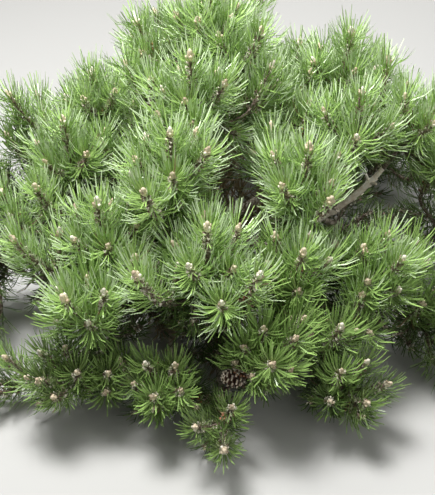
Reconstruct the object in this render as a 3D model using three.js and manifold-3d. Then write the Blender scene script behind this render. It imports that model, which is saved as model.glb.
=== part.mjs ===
// A mugo pine, a low mounded shrub: one short stem at ground level, the boughs that leave it and
// fork, and at the end of each bough a mass of shoots set with needles.
// Millimetres and degrees, +Z up, origin at the middle of the flat cut under the stem.
// Azimuth 0 faces -Y, the front of the shrub, and 90 faces +X.
import * as THREE from 'three';
import { mergeVertices } from 'three/addons/utils/BufferGeometryUtils.js';
import Module from 'manifold-3d';

const wasm = await Module();
wasm.setup();

// Clearances: where a piece meets the next, between two masses, from foliage to a limb, between
// two needles and over the ground. Sample is the step at which a line is tested against limbs.
const gap = { joint: 0.4, masses: 1, limb: 2, needles: 0.6, ground: 3, sample: 6 };

// The smallest real features: vertices nearer than this are one, and thinner faces are dropped.
const least = { distance: 1e-4, area: 1e-3 };

// Each mass draws its own numbers from a seed of its own.
const seed = { first: 1000, step: 37 };

// The stem, from its flat foot over the root flare to the head that the boughs leave.
const stem = {
  height: 100, domeHeight: 6, footRadius: 46, waistRadius: 31, headRadius: 24,
  waistAt: 0.34, shoulderAt: 0.84, lean: 8, leanAzimuth: -60, lobes: 5, lobeDepth: 0.17,
  sides: 16, rings: 6,
};

// Boughs are round tapering limbs that leave their parent low, sag a little and then turn up.
const bough = {
  sides: 5, steps: 5, stemRadius: 10, forkRadius: 7, tipRadius: 4.4,
  startPull: 0.34, endPull: 0.36, beads: 48, lowest: 13,
  rings: {
    low: { height: 40, rise: 14 },
    high: { height: 74, rise: 44 },
    top: { height: 90, rise: 80 },
  },
};

// Twigs inside a mass thin out from the tip of the bough to the whorls.
const twig = {
  steps: 2, footRadius: 4.2, hubRadius: 3.2, sideRadius: 3, stemLength: 88,
  forkAt: 0.3, forkStep: 0.12, startPull: 0.4, endPull: 0.36, lowest: 17,
};

// A mass is a leading whorl of shoots, and side whorls set round it and a little back from it.
// A side whorl that has no room there is tried at smaller shares of its spread.
const whorl = {
  sides: 3, laterals: 5, sideLaterals: 3, solidLaterals: 3, solidSideLaterals: 1, stagger: 2.4,
  spread: 92, spreadJitter: 0.14, shares: [1, 0.85, 0.7, 0.55, 0.42], margin: 9,
  setback: 30, sideSplay: 30, lowest: 34,
};

// One year's shoot, three-sided and set with needles up to the bud. Splay is how far the laterals
// of a whorl stand off its leader, in the lowest masses and in the highest.
const shoot = {
  length: 70, lengthJitter: 0.12, leaderShare: 1.12, shares: [1, 0.8, 0.6],
  lowSplay: 38, highSplay: 61, splayJitter: 6, turnJitter: 8, lift: 0.36,
  sides: 3, sunk: 1, footRadius: 1.5, bareFoot: 16, coreRadius: 4.2, waistAt: 0.58, waistRadius: 3.6,
};

// Needles rise from the faces of the shoot, spreading low down and closing towards the bud.
const needle = {
  length: 56, footRadius: 2.2, lowAngle: 64, highAngle: 30, shares: [1, 0.82, 0.64, 0.46], checks: 8,
};

// Shoots lean out in the lowest masses and stand upright in the higher ones.
const posture = { lowHeight: 120, lowElevation: 36, highHeight: 205, highElevation: 84 };

// An open seed cone, an egg shape whose scales stand out of it.
const seedCone = { length: 32, radius: 10, scaleHeight: 4, scaleLean: 0.4, tilt: 78 };

// Each row is a mass with the bough that carries it. Azimuth, reach and height place its leading
// whorl. A bough leaves the stem at a ring, and veer sets its start round, or it leaves the bough
// that from names, and at says how far along that. Turn sets the whorls round. A row with room for
// fewer than the usual three side whorls says so in sides, a small leading whorl in laterals, and
// one that leans out more than its height asks has its own elevation.
const crown = [
  { name: 'Front', azimuth: -2.5, reach: 311, height: 222, ring: 'low', turn: 30 },
  { name: 'UpperFrontLeft', azimuth: -18, reach: 208, height: 306, ring: 'high', turn: 0, sides: 2 },
  { name: 'UpperFrontRight', azimuth: 37, reach: 212, height: 265, ring: 'high', turn: -15, sides: 2 },
  { name: 'MidRight', azimuth: 43, reach: 340, height: 153, ring: 'low', turn: 45 },
  { name: 'UpperRight', azimuth: 76, reach: 218, height: 286, ring: 'high', turn: -105, sides: 1 },
  { name: 'RightRear', azimuth: 122, reach: 250, height: 290, ring: 'high', turn: 10 },
  { name: 'BackRight', azimuth: 156, reach: 352, height: 186, ring: 'low', turn: 5 },
  { name: 'TopBack', azimuth: 188, reach: 96, height: 388, ring: 'top', turn: 60 },
  { name: 'BackLeft', azimuth: -162, reach: 350, height: 172, ring: 'high', turn: 55 },
  { name: 'LeftRear', azimuth: -126, reach: 256, height: 226, ring: 'low', turn: 15 },
  { name: 'UpperLeft', azimuth: -86, reach: 236, height: 216, ring: 'high', turn: 40 },
  { name: 'LeftShoulder', azimuth: -70, reach: 396, height: 120, ring: 'low', veer: -14, turn: 25 },
  { name: 'MidLeft', azimuth: -36, reach: 280, height: 200, ring: 'low', veer: -12, turn: 35 },
  {
    name: 'FrontRight', azimuth: 22, reach: 293, height: 174, from: 'MidRight', at: 0.3,
    turn: -30, sides: 2,
  },
  { name: 'TopFront', azimuth: -30, reach: 72, height: 350, from: 'UpperFrontLeft', at: 0.4, turn: 0 },
  {
    name: 'LowLeft', azimuth: -29, reach: 378, height: 150, from: 'MidLeft', at: 0.55,
    turn: 30, sides: 2,
  },
  {
    name: 'FrontLeft', azimuth: -11, reach: 396, height: 66, from: 'MidLeft', at: 0.3,
    turn: -90, sides: 2,
  },
  {
    name: 'FrontFoot', azimuth: 1, reach: 440, height: 46, from: 'Front', at: 0.3,
    turn: 180, sides: 0, laterals: 3,
  },
  {
    name: 'FrontLow', azimuth: 9.5, reach: 385, height: 114, from: 'Front', at: 0.55,
    turn: -50, sides: 2,
  },
  {
    name: 'LowRight', azimuth: 25, reach: 426, height: 56, from: 'MidRight', at: 0.45,
    turn: -90, sides: 1,
  },
  { name: 'RightFoot', azimuth: 54, reach: 428, height: 82, from: 'MidRight', at: 0.2, turn: 60 },
  {
    name: 'RightShoulder', azimuth: 88, reach: 318, height: 285, ring: 'low', elevation: 58,
    turn: -30, sides: 2,
  },
  { name: 'RightBackFoot', azimuth: 92, reach: 416, height: 100, from: 'RightRear', at: 0.25, turn: 35 },
  {
    name: 'LeftFoot', azimuth: -30, reach: 430, height: 72, from: 'LeftShoulder', at: 0.3,
    turn: -60, sides: 2,
  },
  {
    name: 'LeftBackFoot', azimuth: -106, reach: 416, height: 92, from: 'LeftShoulder', at: 0.45,
    turn: 50,
  },
  { name: 'BackUpper', azimuth: 184, reach: 262, height: 312, from: 'TopBack', at: 0.3, turn: 30 },
  { name: 'BackLeftFoot', azimuth: -145, reach: 424, height: 86, from: 'LeftRear', at: 0.42, turn: 20 },
  { name: 'BackFoot', azimuth: 169, reach: 432, height: 84, from: 'BackRight', at: 0.5, turn: 40 },
  { name: 'BackRightFoot', azimuth: 130, reach: 424, height: 86, from: 'BackRight', at: 0.34, turn: 0 },
];

// The masses that bear a seed cone, with the whorl it sits on and the side of that whorl.
const coneBearers = {
  FrontLow: { whorl: 2, turn: 165 },
  LeftShoulder: { whorl: 1, turn: 250 },
  RightShoulder: { whorl: 2, turn: 290 },
  BackLeft: { whorl: 1, turn: 270 },
};

const paint = {
  bark: { color: '#7d6a5a', roughness: 0.9, metalness: 0 },
  needles: [
    { color: '#7fa352', roughness: 0.55, metalness: 0 },
    { color: '#6f9447', roughness: 0.55, metalness: 0 },
    { color: '#8caf5c', roughness: 0.55, metalness: 0 },
  ],
};

const rad = THREE.MathUtils.degToRad;
const lerp = THREE.MathUtils.lerp;
const clamp = THREE.MathUtils.clamp;

// A stream of even random numbers from 0 to 1 that is the same in every run.
function seeded(seed) {
  let state = seed >>> 0;
  return () => {
    state = (state + 0x6d2b79f5) >>> 0;
    let t = state;
    t = Math.imul(t ^ (t >>> 15), t | 1);
    t ^= t + Math.imul(t ^ (t >>> 7), t | 61);
    return ((t ^ (t >>> 14)) >>> 0) / 4294967296;
  };
}

const around = (random, spread) => (2 * random() - 1) * spread;

// A unit vector by its azimuth and its elevation over the level.
function heading(azimuth, elevation) {
  const level = Math.cos(rad(elevation));
  return new THREE.Vector3(
    level * Math.sin(rad(azimuth)), -level * Math.cos(rad(azimuth)), Math.sin(rad(elevation)));
}

// Two unit vectors square to an axis, the first one level.
function across(axis) {
  const side = new THREE.Vector3(-axis.y, axis.x, 0);
  if (side.lengthSq() < least.distance) side.set(1, 0, 0);
  side.normalize();
  return [side, new THREE.Vector3().crossVectors(axis, side)];
}

// The axis tipped over by an angle, towards the side that turn names.
function tipped(axis, angle, turn) {
  const [side, upper] = across(axis);
  return axis.clone().multiplyScalar(Math.cos(rad(angle)))
    .addScaledVector(side, Math.sin(rad(angle)) * Math.cos(rad(turn)))
    .addScaledVector(upper, Math.sin(rad(angle)) * Math.sin(rad(turn)))
    .normalize();
}

// A three.js geometry as a solid for joining and cutting.
function solidOf(geometry) {
  const bare = geometry.clone();
  bare.deleteAttribute('normal');
  bare.deleteAttribute('uv');
  const merged = mergeVertices(bare, least.distance);
  return new wasm.Manifold(new wasm.Mesh({
    numProp: 3,
    vertProperties: merged.attributes.position.array,
    triVerts: new Uint32Array(merged.index.array),
  }));
}

function geometryOf(solid) {
  const made = solid.getMesh();
  const geometry = new THREE.BufferGeometry();
  geometry.setAttribute('position', new THREE.BufferAttribute(made.vertProperties, 3));
  geometry.setIndex(new THREE.BufferAttribute(made.triVerts, 1));
  geometry.computeVertexNormals();
  return geometry;
}

// The largest body of a solid, without the loose scraps that a cut leaves.
function largest(solid) {
  return solid.decompose().reduce((best, body) => (body.volume() > best.volume() ? body : best));
}

// A tapering limb through stations, each a point and a radius: a polygon drawn out and then bent.
function limb(stations, sides) {
  const last = stations.length - 1;
  const section = new THREE.Shape(Array.from({ length: sides }, (_, i) => {
    const angle = (2 * Math.PI * i) / sides;
    return new THREE.Vector2(Math.cos(angle), Math.sin(angle));
  }));
  const geometry = new THREE.ExtrudeGeometry(section, { depth: last, steps: last, bevelEnabled: false });
  let side = null;
  const frames = stations.map(({ at, radius, tangent }, i) => {
    const [before, after] = [stations[Math.max(0, i - 1)], stations[Math.min(last, i + 1)]];
    const along = tangent ?? after.at.clone().sub(before.at).normalize();
    side ??= across(along)[0];
    side = side.clone().addScaledVector(along, -side.dot(along)).normalize();
    return { at, radius, side, upper: new THREE.Vector3().crossVectors(along, side) };
  });
  const position = geometry.attributes.position;
  for (let i = 0; i < position.count; i++) {
    const { at, radius, side: level, upper } = frames[Math.round(position.getZ(i))];
    const point = at.clone()
      .addScaledVector(level, radius * position.getX(i))
      .addScaledVector(upper, radius * position.getY(i));
    position.setXYZ(i, point.x, point.y, point.z);
  }
  return geometry;
}

function stationsAlong(curve, startRadius, endRadius, steps) {
  return Array.from({ length: steps + 1 }, (_, i) => ({
    at: curve.getPoint(i / steps),
    tangent: curve.getTangent(i / steps),
    radius: lerp(startRadius, endRadius, i / steps),
  }));
}

// Each face becomes a small pyramid, whose tip reach() gives, or stays where it gives none.
function raised(core, reach) {
  const flat = core.attributes.position;
  const points = [];
  for (let i = 0; i < flat.count; i += 3) {
    const corners = [0, 1, 2].map((k) => new THREE.Vector3().fromBufferAttribute(flat, i + k));
    const face = new THREE.Triangle(...corners);
    if (face.getArea() < least.area) continue;
    const tip = reach(face.getMidpoint(new THREE.Vector3()));
    if (!tip) points.push(...corners);
    else for (let k = 0; k < 3; k++) points.push(corners[k], corners[(k + 1) % 3], tip);
  }
  return new THREE.BufferGeometry().setFromPoints(points);
}

// The stem is a turned profile that leans, with the ridges of its roots dying out upwards.
function stemGeometry(clearance) {
  const points = [new THREE.Vector2(0, 0)];
  for (let i = 0; i <= stem.rings; i++) {
    const t = i / stem.rings;
    const flare = t < stem.waistAt ? (1 - t / stem.waistAt) ** 2 : 0;
    const shoulder = t > stem.shoulderAt ? (t - stem.shoulderAt) / (1 - stem.shoulderAt) : 0;
    const radius = lerp(stem.waistRadius, stem.footRadius, flare)
      - (stem.waistRadius - stem.headRadius) * shoulder ** 2;
    points.push(new THREE.Vector2(radius + clearance, stem.height * t));
  }
  points.push(new THREE.Vector2(0, stem.height + stem.domeHeight + clearance));
  const geometry = new THREE.LatheGeometry(points, stem.sides).rotateX(Math.PI / 2);
  const position = geometry.attributes.position;
  for (let i = 0; i < position.count; i++) {
    const [x, y, z] = [position.getX(i), position.getY(i), position.getZ(i)];
    const t = z / stem.height;
    const ridge = 1 + stem.lobeDepth * Math.max(0, 1 - t) ** 3 * Math.cos(stem.lobes * Math.atan2(y, x));
    const axis = stemAxis(z);
    position.setXYZ(i, axis.x + x * ridge, axis.y + y * ridge, z);
  }
  return geometry;
}

function stemAxis(height) {
  const lean = stem.lean * (height / stem.height) ** 2;
  return heading(stem.leanAzimuth, 0).multiplyScalar(lean).setZ(height);
}

// Where a row's leading whorl is, the foot of the mass's own stem, and the way from foot to whorl.
function placed(row) {
  const hub = heading(row.azimuth, 0).multiplyScalar(row.reach).setZ(row.height);
  const share = clamp((row.height - posture.lowHeight) / (posture.highHeight - posture.lowHeight), 0, 1);
  const elevation = row.elevation ?? lerp(posture.lowElevation, posture.highElevation, share);
  const foot = hub.clone().addScaledVector(heading(row.azimuth, elevation), -twig.stemLength);
  foot.z = Math.max(foot.z, twig.lowest);
  const axis = hub.clone().sub(foot).normalize();
  const middle = hub.clone().addScaledVector(axis, shoot.length / 3);
  return { hub, axis, foot, middle, splay: lerp(shoot.lowSplay, shoot.highSplay, share) };
}

// The curve of a bough, from inside what it leaves to just under the foot of its mass.
function boughCurve(row, grown) {
  const { foot, axis } = row.place;
  const tip = foot.clone().addScaledVector(axis, -gap.joint);
  let start, away;
  if (row.from) {
    const parent = grown.get(row.from);
    start = parent.curve.getPoint(row.at);
    away = parent.curve.getTangent(row.at).add(tip.clone().sub(start).normalize()).normalize();
  } else {
    const ring = bough.rings[row.ring];
    start = stemAxis(ring.height);
    away = heading(row.azimuth + (row.veer ?? 0), ring.rise);
  }
  const span = start.distanceTo(tip);
  const pull = Math.min(bough.endPull * span, (tip.z - bough.lowest) / axis.z);
  const leave = start.clone().addScaledVector(away, bough.startPull * span);
  return new THREE.CubicBezierCurve3(start, leave, tip.clone().addScaledVector(axis, -pull), tip);
}

function boughGeometry({ curve, startRadius }, clearance) {
  const [start, tip] = [startRadius + clearance, bough.tipRadius + clearance];
  return limb(stationsAlong(curve, start, tip, bough.steps), bough.sides);
}

// Every whorl of a mass with its shoots. The same draws in the same order give the same mass.
function whorlsOf(row, index) {
  const random = seeded(seed.first + seed.step * index);
  const { hub, axis, splay } = row.place;
  const laterals = row.laterals ?? whorl.laterals;
  const whorls = [{ hub, axis, turn: row.turn, laterals, solid: whorl.solidLaterals }];
  const sides = row.sides ?? whorl.sides;
  for (let i = 0; i < sides; i++) {
    const turn = row.turn + (360 * (i + 0.5)) / sides + around(random, shoot.turnJitter);
    const spread = whorl.spread * (1 + around(random, whorl.spreadJitter));
    const sideHub = (share) => {
      const at = hub.clone().addScaledVector(axis, -whorl.setback)
        .addScaledVector(tipped(axis, 90, turn), share * spread);
      return at.setZ(Math.max(at.z, whorl.lowest));
    };
    const share = whorl.shares.find((one) => inOwnSpace(sideHub(one), row, whorl.margin));
    if (!share) continue;
    whorls.push({
      hub: sideHub(share), axis: tipped(axis, whorl.sideSplay, turn), turn,
      laterals: whorl.sideLaterals, solid: whorl.solidSideLaterals,
    });
  }
  for (const one of whorls) {
    const reach = () => shoot.length * (1 + around(random, shoot.lengthJitter));
    one.shoots = [{ from: one.hub, way: one.axis, length: shoot.leaderShare * reach() }];
    for (let i = 0; i < one.laterals; i++) {
      const tilt = splay + around(random, shoot.splayJitter);
      const turn = one.turn + (360 * i) / one.laterals + around(random, shoot.turnJitter);
      const way = tipped(one.axis, tilt, turn);
      way.z += shoot.lift;
      const from = one.hub.clone().addScaledVector(one.axis, -whorl.stagger * (i + 1));
      one.shoots.push({ from, way: way.normalize(), length: reach() });
    }
  }
  return whorls;
}

// Whether a point keeps inside a mass's own space: nearer to its middle than to any other's.
function inOwnSpace(point, row, margin) {
  if (point.z < gap.ground + margin) return false;
  return crown.every((other) => {
    if (other === row) return true;
    const apart = other.place.middle.clone().sub(row.place.middle);
    const halfway = row.place.middle.clone().add(other.place.middle).divideScalar(2);
    return point.clone().sub(halfway).dot(apart) / apart.length() < -(margin + gap.masses / 2);
  });
}

// Whether a straight stretch keeps clear of every bough.
function clearOfLimbs(from, to, radius, limbs) {
  const steps = Math.ceil(from.distanceTo(to) / gap.sample);
  for (let i = 0; i <= steps; i++) {
    const point = from.clone().lerp(to, i / steps);
    for (const { beads } of limbs.values()) {
      if (beads.some((bead) => bead.at.distanceTo(point) < bead.radius + radius + gap.limb)) return false;
    }
  }
  return true;
}

// Whether a needle's line keeps clear of what its mass already holds. Both thin out to their tips.
function isFree(from, to, taken) {
  const line = new THREE.Line3(from, to);
  const shares = Array.from({ length: needle.checks }, (_, i) => (i + 1) / needle.checks);
  return taken.every((other) => shares.every((t) => {
    const point = line.at(t, new THREE.Vector3());
    const near = other.line.closestPointToPointParameter(point, true);
    const apart = point.distanceTo(other.line.at(near, new THREE.Vector3()));
    const held = (1 - t) * needle.footRadius + lerp(other.startRadius, other.endRadius, near);
    return apart > held + gap.needles;
  }));
}

// The core of a shoot, shortened where it would leave its space, or nothing if even that fails.
function shootCore(hub, way, length, row, limbs) {
  const endAt = (share) => hub.clone().addScaledVector(way, share * length);
  const share = shoot.shares.find((one) => inOwnSpace(endAt(one), row, shoot.coreRadius)
    && clearOfLimbs(hub, endAt(one), shoot.coreRadius, limbs));
  if (!share) return null;
  const line = new THREE.Line3(hub, endAt(share));
  return { hub, way, length: share * length, line, startRadius: shoot.coreRadius, endRadius: 0 };
}

// A shoot on the stations of the twig that it ends, or on a thin foot of its own. Its faces beyond
// the bare foot are raised as needles, each as long as the room lets it be.
function shootSolid(core, twigStations, row, limbs, taken) {
  const { hub, way, length } = core;
  const others = taken.filter((one) => one !== core);
  const ownFoot = { at: hub.clone().addScaledVector(way, -shoot.sunk), radius: shoot.footRadius };
  const stations = [
    ...(twigStations ?? [ownFoot]),
    { at: hub.clone().addScaledVector(way, shoot.bareFoot), radius: shoot.coreRadius },
    { at: hub.clone().addScaledVector(way, shoot.waistAt * length), radius: shoot.waistRadius },
    { at: hub.clone().addScaledVector(way, length), radius: 0 },
  ];
  return solidOf(raised(limb(stations, shoot.sides), (middle) => {
    const along = middle.clone().sub(hub).dot(way);
    if (along < shoot.bareFoot) return null;
    const out = middle.clone().sub(hub).addScaledVector(way, -along).normalize();
    const angle = rad(lerp(needle.lowAngle, needle.highAngle, along / length));
    const lean = way.clone().multiplyScalar(Math.cos(angle)).addScaledVector(out, Math.sin(angle));
    const tipAt = (share) => middle.clone().addScaledVector(lean, share * needle.length);
    const share = needle.shares.find((one) => inOwnSpace(tipAt(one), row, 0)
      && clearOfLimbs(middle, tipAt(one), 0, limbs) && isFree(middle, tipAt(one), others));
    if (!share) return null;
    const line = new THREE.Line3(middle, tipAt(share));
    taken.push({ line, startRadius: needle.footRadius, endRadius: 0 });
    return line.end;
  }));
}

// An open cone set on a whorl: an egg shape, each of whose faces stands out as a scale.
function coneSolid(hub, way) {
  const egg = new THREE.IcosahedronGeometry(seedCone.radius, 0)
    .scale(1, seedCone.length / (2 * seedCone.radius), 1)
    .translate(0, seedCone.length / 2, 0)
    .applyQuaternion(new THREE.Quaternion().setFromUnitVectors(new THREE.Vector3(0, 1, 0), way))
    .translate(hub.x, hub.y, hub.z);
  const middle = hub.clone().addScaledVector(way, seedCone.length / 2);
  return solidOf(raised(egg, (face) => {
    const out = face.clone().sub(middle).normalize().addScaledVector(way, seedCone.scaleLean).normalize();
    return face.clone().addScaledVector(out, seedCone.scaleHeight);
  }));
}

// The twig to a whorl: straight up the mass's own stem, or bowing out of it to a side whorl.
function twigStations(row, one, i) {
  const { hub, foot, axis } = row.place;
  if (i === 0) return [{ at: foot, radius: twig.footRadius }, { at: hub, radius: twig.hubRadius }];
  const fork = foot.clone().lerp(hub, twig.forkAt + twig.forkStep * (i - 1));
  const span = fork.distanceTo(one.hub);
  return stationsAlong(new THREE.CubicBezierCurve3(
    fork,
    fork.clone().addScaledVector(axis, twig.startPull * span),
    one.hub.clone().addScaledVector(one.axis, -twig.endPull * span),
    one.hub,
  ), twig.sideRadius, twig.hubRadius, twig.steps);
}

// A mass: its own stem, a side twig to each side whorl, and the shoots of every whorl.
function massSolid(row, index, limbs) {
  const taken = [];
  const shoots = [];
  const parts = [];
  whorlsOf(row, index).forEach((one, i) => {
    const stations = twigStations(row, one, i);
    const pieces = stations.slice(1).map(({ at, radius }, k) => ({
      line: new THREE.Line3(stations[k].at, at), startRadius: stations[k].radius, endRadius: radius,
    }));
    const fits = i === 0 || pieces.every(({ line }, k) => inOwnSpace(line.end, row, twig.sideRadius)
      && (k === 0 || clearOfLimbs(line.start, line.end, twig.sideRadius, limbs)));
    // Every second lateral is drawn, larger than life, and stands for its neighbour as well.
    const cores = one.shoots.filter((_, k) => k === 0 || (k % 2 === 1 && k < 2 * one.solid))
      .map(({ from, way, length }) => shootCore(from, way, length, row, limbs))
      .filter((core) => core);
    if (!fits || !cores.length) return;
    taken.push(...pieces);
    shoots.push(...cores.map((core, k) => ({ core, stations: k === 0 ? stations : null })));
    if (coneBearers[row.name]?.whorl === i) {
      const way = tipped(one.axis, seedCone.tilt, coneBearers[row.name].turn);
      const end = one.hub.clone().addScaledVector(way, seedCone.length);
      const line = new THREE.Line3(one.hub, end);
      parts.push(coneSolid(one.hub, way));
      taken.push({ line, startRadius: seedCone.radius, endRadius: seedCone.radius });
    }
  });
  taken.push(...shoots.map(({ core }) => core));
  parts.push(...shoots.map(({ core, stations }) => shootSolid(core, stations, row, limbs, taken)));
  return largest(wasm.Manifold.union(parts));
}

const group = new THREE.Group();

function add(name, solid, look) {
  const mesh = new THREE.Mesh(geometryOf(solid), new THREE.MeshStandardMaterial(look));
  mesh.name = name;
  group.add(mesh);
}

for (const row of crown) {
  row.place = placed(row);
}

add('Stem', solidOf(stemGeometry(0)), paint.bark);

// Boughs, each cut back where it leaves the stem or the bough that it forks from.
const limbs = new Map();
for (const row of crown) {
  const startRadius = row.from ? bough.forkRadius : bough.stemRadius;
  const curve = boughCurve(row, limbs);
  const beads = Array.from({ length: bough.beads + 1 }, (_, i) => ({
    at: curve.getPoint(i / bough.beads),
    radius: lerp(startRadius, bough.tipRadius, i / bough.beads),
  }));
  limbs.set(row.name, { curve, beads, startRadius });
}
for (const row of crown) {
  const whole = boughGeometry(limbs.get(row.name), 0);
  const cutter = row.from ? boughGeometry(limbs.get(row.from), gap.joint) : stemGeometry(gap.joint);
  add(`${row.name}Bough`, largest(solidOf(whole).subtract(solidOf(cutter))), paint.bark);
}

crown.forEach((row, index) => {
  add(`${row.name}Mass`, massSolid(row, index, limbs), paint.needles[index % paint.needles.length]);
});

export default group;
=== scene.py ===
from math import cos, degrees, exp, pi, radians, sin, sqrt

import bpy
import numpy as np
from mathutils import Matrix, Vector, noise


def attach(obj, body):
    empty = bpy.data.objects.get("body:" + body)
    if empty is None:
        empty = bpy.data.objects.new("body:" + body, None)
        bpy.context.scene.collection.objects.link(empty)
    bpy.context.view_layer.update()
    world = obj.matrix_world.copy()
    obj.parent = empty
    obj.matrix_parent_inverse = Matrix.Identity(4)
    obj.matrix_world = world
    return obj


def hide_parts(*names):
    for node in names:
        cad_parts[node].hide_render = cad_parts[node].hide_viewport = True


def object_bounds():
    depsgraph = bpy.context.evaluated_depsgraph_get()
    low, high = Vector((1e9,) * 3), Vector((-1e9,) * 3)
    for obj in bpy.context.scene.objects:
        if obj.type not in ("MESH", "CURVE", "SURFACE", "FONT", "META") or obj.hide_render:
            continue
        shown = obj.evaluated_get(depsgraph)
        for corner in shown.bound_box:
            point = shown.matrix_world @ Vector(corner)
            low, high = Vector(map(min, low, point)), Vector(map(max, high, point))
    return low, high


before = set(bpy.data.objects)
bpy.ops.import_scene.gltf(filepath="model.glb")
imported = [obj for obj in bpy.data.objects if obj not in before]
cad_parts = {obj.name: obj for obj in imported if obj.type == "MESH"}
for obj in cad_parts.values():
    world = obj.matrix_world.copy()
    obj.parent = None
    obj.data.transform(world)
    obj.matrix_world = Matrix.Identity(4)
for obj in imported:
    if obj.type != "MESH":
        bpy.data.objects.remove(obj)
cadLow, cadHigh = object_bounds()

print("frame loaded:", len(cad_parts), "nodes")

mm = 0.001  # growth is worked out in millimetres, meshes are in metres

# The growth rule is the solids' own, with the same seeded draws, so every shoot lands on its own mass.

clearance = dict(joint=0.4, masses=1, ground=3)

seedOfMass = dict(first=1000, step=37)

stem = dict(
    height=100, domeHeight=6, footRadius=46, waistRadius=31, headRadius=24,
    waistAt=0.34, shoulderAt=0.84, lean=8, leanAzimuth=-60, lobes=5, lobeDepth=0.17, lobeFade=3,
    sides=96, rings=60,
)

bough = dict(
    stemRadius=10, forkRadius=7, tipRadius=4.4, startPull=0.34, endPull=0.36, lowest=13,
    rings=dict(low=(40, 14), high=(74, 44), top=(90, 80)),  # height on the stem, rise in degrees
)

twig = dict(
    footRadius=4.2, hubRadius=3.2, sideRadius=3, stemLength=88, forkAt=0.3, forkStep=0.12,
    startPull=0.4, endPull=0.36, lowest=17,
)

whorl = dict(
    sides=3, laterals=5, sideLaterals=3, stagger=2.4, spread=92, spreadJitter=0.14,
    shares=(1, 0.85, 0.7, 0.55, 0.42), margin=9, setback=30, sideSplay=30, lowest=34,
)

shoot = dict(
    length=70, lengthJitter=0.12, leaderShare=1.12, shares=(1, 0.8, 0.6), splays=(38, 61), splayJitter=6,
    turnJitter=8, lift=0.36,
)

posture = dict(heights=(120, 205), elevations=(36, 84))  # a mass leans out less, the higher it stands


def mass(name, azimuth, reach, height, turn, **more):
    return dict(name=name, azimuth=azimuth, reach=reach, height=height, turn=turn, **more)


# Azimuth 0 faces the front and 90 the right. A bough leaves the stem at a ring, or another bough part way.
crown = [
    mass("Front", -2.5, 311, 222, 30, ring="low"),
    mass("UpperFrontLeft", -18, 208, 306, 0, ring="high", sides=2),
    mass("UpperFrontRight", 37, 212, 265, -15, ring="high", sides=2),
    mass("MidRight", 43, 340, 153, 45, ring="low"),
    mass("UpperRight", 76, 218, 286, -105, ring="high", sides=1),
    mass("RightRear", 122, 250, 290, 10, ring="high"),
    mass("BackRight", 156, 352, 186, 5, ring="low"),
    mass("TopBack", 188, 96, 388, 60, ring="top"),
    mass("BackLeft", -162, 350, 172, 55, ring="high"),
    mass("LeftRear", -126, 256, 226, 15, ring="low"),
    mass("UpperLeft", -86, 236, 216, 40, ring="high"),
    mass("LeftShoulder", -70, 396, 120, 25, ring="low", veer=-14),
    mass("MidLeft", -36, 280, 200, 35, ring="low", veer=-12),
    mass("FrontRight", 22, 293, 174, -30, on="MidRight", at=0.3, sides=2),
    mass("TopFront", -30, 72, 350, 0, on="UpperFrontLeft", at=0.4),
    mass("LowLeft", -29, 378, 150, 30, on="MidLeft", at=0.55, sides=2),
    mass("FrontLeft", -11, 396, 66, -90, on="MidLeft", at=0.3, sides=2),
    mass("FrontFoot", 1, 440, 46, 180, on="Front", at=0.3, sides=0, laterals=3),
    mass("FrontLow", 9.5, 385, 114, -50, on="Front", at=0.55, sides=2),
    mass("LowRight", 25, 426, 56, -90, on="MidRight", at=0.45, sides=1),
    mass("RightFoot", 54, 428, 82, 60, on="MidRight", at=0.2),
    mass("RightShoulder", 88, 318, 285, -30, ring="low", elevation=58, sides=2),
    mass("RightBackFoot", 92, 416, 100, 35, on="RightRear", at=0.25),
    mass("LeftFoot", -30, 430, 72, -60, on="LeftShoulder", at=0.3, sides=2),
    mass("LeftBackFoot", -106, 416, 92, 50, on="LeftShoulder", at=0.45),
    mass("BackUpper", 184, 262, 312, 30, on="TopBack", at=0.3),
    mass("BackLeftFoot", -145, 424, 86, 20, on="LeftRear", at=0.42),
    mass("BackFoot", 169, 432, 84, 40, on="BackRight", at=0.5),
    mass("BackRightFoot", 130, 424, 86, 0, on="BackRight", at=0.34),
]

wordMask = 0xFFFFFFFF


def seeded(number):  # the same stream from 0 to 1 in every run, with its generator's own constants
    state = number & wordMask

    def draw():
        nonlocal state
        state = (state + 0x6D2B79F5) & wordMask
        t = state
        t = ((t ^ (t >> 15)) * (t | 1)) & wordMask
        t ^= (t + (((t ^ (t >> 7)) * (t | 61)) & wordMask)) & wordMask
        return ((t ^ (t >> 14)) & wordMask) / (wordMask + 1)

    return draw


def around(draw, spread):
    return (2 * draw() - 1) * spread


def lerp(low, high, t):
    return low + (high - low) * t


def shareOf(value, low, high):  # where a value stands between two others, from 0 to 1
    return min(1, max(0, (value - low) / (high - low)))


def heading(azimuth, elevation):
    turn, rise = radians(azimuth), radians(elevation)
    return Vector((cos(rise) * sin(turn), -cos(rise) * cos(turn), sin(rise)))


def across(axis):  # two directions square to an axis, the first one level
    side = Vector((-axis.y, axis.x, 0))
    if side.length_squared < 1e-4:  # for an upright axis any level direction will do
        side = Vector((1, 0, 0))
    side.normalize()
    return side, axis.cross(side)


def tipped(axis, angle, turn):
    side, upper = across(axis)
    lean, swing = radians(angle), radians(turn)
    away = side * cos(swing) + upper * sin(swing)
    return (axis * cos(lean) + away * sin(lean)).normalized()


def bezier(points, t):
    a, b, c, d = points
    s = 1 - t
    return a * s**3 + b * 3 * s * s * t + c * 3 * s * t * t + d * t**3


def bezierWay(points, t):
    a, b, c, d = points
    s = 1 - t
    return ((b - a) * s * s + (c - b) * 2 * s * t + (d - c) * t * t).normalized()


def stemAxis(height):
    centre = heading(stem["leanAzimuth"], 0) * stem["lean"] * (height / stem["height"]) ** 2
    centre.z = height
    return centre


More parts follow.
